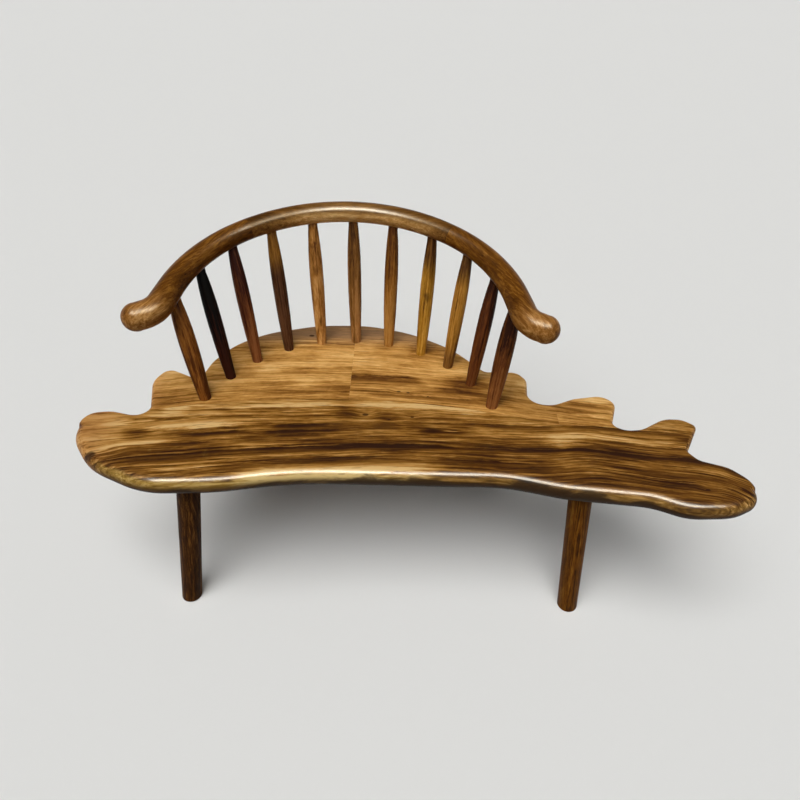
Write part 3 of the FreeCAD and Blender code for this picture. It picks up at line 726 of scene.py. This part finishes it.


# lift is how much lighter a piece is at its foot and at its top, and a darker top is painted shade
# under the bow; knots are told as the share of the height, how far aside and the radius
stickLook = {
    "driftScale": (16, 6),
    "drift": 0.003,
    "pith": (0.05, 0.03),
    "rings": 220,
    "ringShare": 0.4,
    "layers": [(40, 5, 2, 0.45), (110, 7, 4, 0.7), (260, 24, 3, 0.5), (600, 60, 2, 0.35)],
    "poreScale": (1500, 60),
    "poreStrength": 0.3,
    "poreTint": colour(30, 17, 9),
    "knotTint": colour(48, 24, 8),
    "lift": (0.12, -0.15),
    "rough": 0.4,
    "gloss": 0.034,
    "coat": 0.045,
    "coatRough": 0.22,
    "unevenness": 0.15,
}
stickWoods = {
    "left_end_post": {
        "palette": shades((80, 42, 12), (144, 88, 32), (180, 120, 54)), "lift": (-0.16, 0),
    },
    "spindle_1": {
        "palette": shades((2, 1, 1), (12, 5, 3), (52, 22, 12)), "lift": (0.3, -0.16),
        "gloss": 0.026, "coat": 0.03,
    },
    "spindle_2": {
        "palette": shades((50, 18, 8), (92, 48, 20), (132, 80, 42)), "lift": (0.2, -0.24),
    },
    "spindle_3": {
        "palette": shades((36, 16, 5), (60, 33, 14), (92, 58, 34)), "lift": (0.16, -0.04),
        "changes": [
            {"from": 0.2, "to": 0.28, "strength": 0.95,
             "palette": shades((88, 54, 14), (138, 92, 32), (168, 118, 48))},
        ],
    },
    "spindle_4": {
        "palette": shades((84, 48, 16), (156, 104, 46), (200, 148, 84)), "lift": (0.06, -0.04),
        "layers": [(40, 16, 3, 0.75), (110, 26, 4, 0.75), (260, 40, 3, 0.4)],
        "knots": [(0.86, 0.002, 0.011), (0.76, -0.004, 0.008)],
    },
    "spindle_5": {"palette": shades((66, 38, 12), (122, 80, 34), (166, 118, 66))},
    "spindle_6": {"palette": shades((78, 42, 12), (138, 88, 30), (174, 124, 60))},
    "spindle_7": {
        "palette": shades((80, 42, 6), (156, 108, 30), (202, 150, 60)), "lift": (0.04, 0.06),
        "knots": [(0.56, 0.006, 0.013), (0.49, 0.0, 0.009)],
        # a darker top, partly painted shade under the bow
        "changes": [
            {"from": 0.21, "to": 0.28, "strength": 0.95,
             "palette": shades((28, 12, 2), (60, 30, 6), (100, 62, 24))},
        ],
    },
    "spindle_8": {
        "palette": shades((90, 52, 12), (166, 114, 42), (196, 142, 62)), "lift": (0, 0),
        "changes": [
            {"from": 0.10, "to": 0.03, "strength": 0.8,
             "palette": shades((56, 30, 10), (94, 60, 26), (126, 84, 40))},
            # a darker top, partly painted shade under the bow
            {"from": 0.22, "to": 0.28, "strength": 0.95,
             "palette": shades((44, 24, 8), (80, 50, 22), (118, 80, 38))},
        ],
    },
    "spindle_9": {
        "palette": shades((46, 20, 8), (92, 48, 18), (120, 72, 34)), "lift": (0.06, -0.22),
    },
    "right_end_post": {
        "palette": shades((44, 18, 5), (104, 58, 24), (142, 90, 46)), "lift": (0.16, -0.24),
    },
}
legLook = {
    "driftScale": (12, 4),
    "drift": 0.004,
    "pith": (0.03, 0.05),
    "rings": 180,
    "ringShare": 0.5,
    "layers": [(30, 4, 2, 0.24), (100, 5, 4, 0.5), (260, 20, 3, 0.5), (600, 36, 2, 0.6)],
    "lines": (420, 2, 0.3, 0.3),
    "lineScale": (14, 3),
    "poreScale": (1300, 50),
    "poreStrength": 0.35,
    "poreTint": colour(22, 12, 4),
    "lift": (0, 0),
    "rough": 0.42,
    "gloss": 0.026,
    "coat": 0.03,
    "coatRough": 0.22,
    "unevenness": 0.2,
}
legWoods = {
    "leg_front_left": {
        "palette": shades((36, 17, 2), (66, 36, 6), (122, 80, 34)), "arch": (0.5, 0.1),
    },
    "leg_front_right": {"palette": shades((58, 31, 4), (106, 62, 12), (146, 96, 32))},
    "leg_rear_left": {
        "palette": shades((48, 26, 4), (84, 50, 12), (120, 80, 30)), "arch": (0.4, 0.2),
    },
    "leg_rear_right": {"palette": shades((42, 23, 4), (76, 44, 10), (110, 72, 28))},
}
seeds = {"first": 5.3, "step": 7.9}  # no two sticks or legs have the same grain
turnedMaterials = {}
for number, (name, own) in enumerate({**stickWoods, **legWoods}.items()):
    common = legLook if name.startswith("leg") else stickLook
    look = {**common, "seed": seeds["first"] + number * seeds["step"], **own}
    start, end = axisOf(name)
    turnedMaterials[name] = turnedWood(woodName(name), start, end, look)
print("stick and leg woods made")

bowLook = {
    "driftScale": (10, 3),
    "drift": 0.004,
    "pith": (0.06, 0.05),
    "rings": 90,
    "ringShare": 0.2,
    "layers": [(14, 4, 3, 0.5), (50, 6, 4, 0.5), (200, 26, 3, 0.5), (480, 60, 2, 0.4)],
    "poreScale": (1300, 50),
    "poreStrength": 0.3,
    "poreTint": colour(40, 24, 12),
    "lift": (0, 0),
    "rough": 0.33,
    "gloss": 0.05,
    "glossTint": (1, 0.8, 0.5, 1),
    "coat": 0.07,
    "coatRough": 0.18,
    "unevenness": 0.2,
}
armShades = shades((44, 18, 0), (94, 54, 8), (148, 98, 34))
# painted shade: the bow's upper side is darker, as the light falls from in front
paintedTopShade = shades((38, 16, 0), (82, 48, 8), (122, 80, 30))
handChange = {
    "from": 0.27, "to": 0.35, "strength": 0.85,
    "palette": shades((66, 32, 2), (142, 92, 38), (208, 158, 94)),
}
bowWoods = {
    "back_bow_centre": {
        # lighter in the middle, partly as painted light on the front face, and shinier there;
        # darker at the glue joints, and darker along the top as painted shade
        "run": ((-0.39, 0.229, 0.748), (0.094, 0.229, 0.748)),
        "seed": 41.7, "palette": shades((112, 72, 26), (176, 130, 70), (220, 180, 118)),
        "coat": 0.03, "polish": {"start": (0.09, 0.22), "end": (0.42, 0.29), "coat": 0.2},
        "changes": [
            {"from": 0.15, "to": 0.0, "strength": 0.9, "palette": armShades},
            {"from": 0.36, "to": 0.5, "strength": 0.9, "palette": armShades},
            # the top change is painted shade along the bow's upper side
            {"top": True, "from": 0.704, "to": 0.715, "strength": 0.9, "palette": paintedTopShade},
        ],
    },
    "back_bow_left_arm": {
        "run": ((-0.388, 0.229, 0.748), (-0.583, -0.050, 0.684)),
        "seed": 47.3, "palette": armShades, "changes": [handChange],
    },
    "back_bow_right_arm": {
        "run": ((0.092, 0.229, 0.748), (0.286, -0.050, 0.684)),
        "seed": 53.9, "palette": armShades, "changes": [handChange],
    },
}
bowMaterials = {}
for name, own in bowWoods.items():
    start, end = (Vector(point) for point in own["run"])
    bowMaterials[name] = turnedWood(woodName(name), start, end, {**bowLook, **own})
dowelLook = {
    **bowLook, "seed": 61.1, "palette": shades((168, 132, 84), (196, 160, 108), (216, 184, 134)),
    "coat": 0.0, "rough": 0.6,
}
for name in ("bow_dowel_left", "bow_dowel_right"):
    start, end = axisOf(name)
    bowMaterials[name] = turnedWood(woodName(name), start, end, dowelLook)
print("bow woods made")

for name, material in {**seatMaterials, **turnedMaterials, **bowMaterials}.items():
    data = nodes[name].data
    if data.materials:
        data.materials[0] = material
    else:
        data.materials.append(material)
print("woods given to the pieces")


# floor, lamps and world
stage = {
    "floorSize": 160,
    "floorTint": colour(222, 222, 220),
    "bounceTint": colour(120, 120, 118),
    "worldTint": colour(245, 243, 240),
    "worldStrength": 0.12,
    "horizonStrength": 0.8,
    "horizonFade": (0.29, 0.45),  # heights of a direction of length 1 where the pale horizon ends
}


def makeFloor():
    # pale to the eye and in reflections, but it throws less light back up than a white floor
    bpy.ops.mesh.primitive_plane_add(size=stage["floorSize"], location=(0, 0, 0))
    floor = bpy.context.object
    floor.name = "floor"
    material, tree = newMaterial("plain floor")
    tint = blend(tree, seenShare(tree), stage["bounceTint"], stage["floorTint"])
    shader = addNode(tree, "BsdfDiffuse", {"Color": tint})
    output = addNode(tree, "OutputMaterial")
    tree.links.new(shader.outputs[0], output.inputs[0])
    floor.data.materials.append(material)


def makeWorld():
    # the horizon is as pale as the floor to the eye and in reflections, without lighting the bench
    world = bpy.context.scene.world or bpy.data.worlds.new("studio")
    bpy.context.scene.world = world
    world.use_nodes = True
    tree = world.node_tree
    height = split(tree, addNode(tree, "TexCoord").outputs["Generated"])[2]
    extra = stage["horizonStrength"] - stage["worldStrength"]
    extra = fade(tree, height, *stage["horizonFade"], extra, 0)
    strength = calc(tree, "MULTIPLY_ADD", seenShare(tree), extra, stage["worldStrength"])
    background = tree.nodes["Background"]
    feed(tree, background.inputs["Color"], stage["worldTint"])
    feed(tree, background.inputs["Strength"], strength)


# lamps that only shine in the lacquer, and leave the colours alone
shineLamps = {
    # the long soft line of light along the front edge and the top of the bow
    "highlight strip": {
        "place": (0.3, -2.3, 5), "target": (0.3, -0.2, 0.4), "width": 6.3, "depth": 2.1,
        "power": 2900, "tint": (0.97, 0.95, 0.82),
    },
    "glow": {
        "place": (-0.1, -1.3, 5), "target": (-0.1, -0.8, 0.4), "width": 5, "depth": 2.8,
        "power": 630, "tint": (1, 0.95, 0.8),
    },
}


def addShineLamp(name, place, target, width, depth, power, tint):
    bpy.ops.object.light_add(type="AREA", location=place)
    lamp = bpy.context.object
    lamp.name = name
    lamp.rotation_euler = (Vector(target) - Vector(place)).to_track_quat("-Z", "Y").to_euler()
    lamp.data.shape = "RECTANGLE"
    lamp.data.size = width
    lamp.data.size_y = depth
    lamp.data.energy = power
    lamp.data.color = tint
    lamp.visible_diffuse = False


# soft daylight that lights the colours, and shows in no lacquer
softSun = {"place": (-1, -2, 4), "towards": (0.22, 0.45, -1), "spread": 50, "strength": 3.05}


def addSoftSun():
    bpy.ops.object.light_add(type="SUN", location=softSun["place"])
    lamp = bpy.context.object
    lamp.name = "soft daylight"
    lamp.rotation_euler = Vector(softSun["towards"]).to_track_quat("-Z", "Y").to_euler()
    lamp.visible_glossy = False
    lamp.data.angle = math.radians(softSun["spread"])
    lamp.data.energy = softSun["strength"]


makeFloor()
for name, lamp in shineLamps.items():
    addShineLamp(name, **lamp)
addSoftSun()
makeWorld()
bpy.context.scene.view_settings.view_transform = "Standard"
print("floor, lamps and world set")
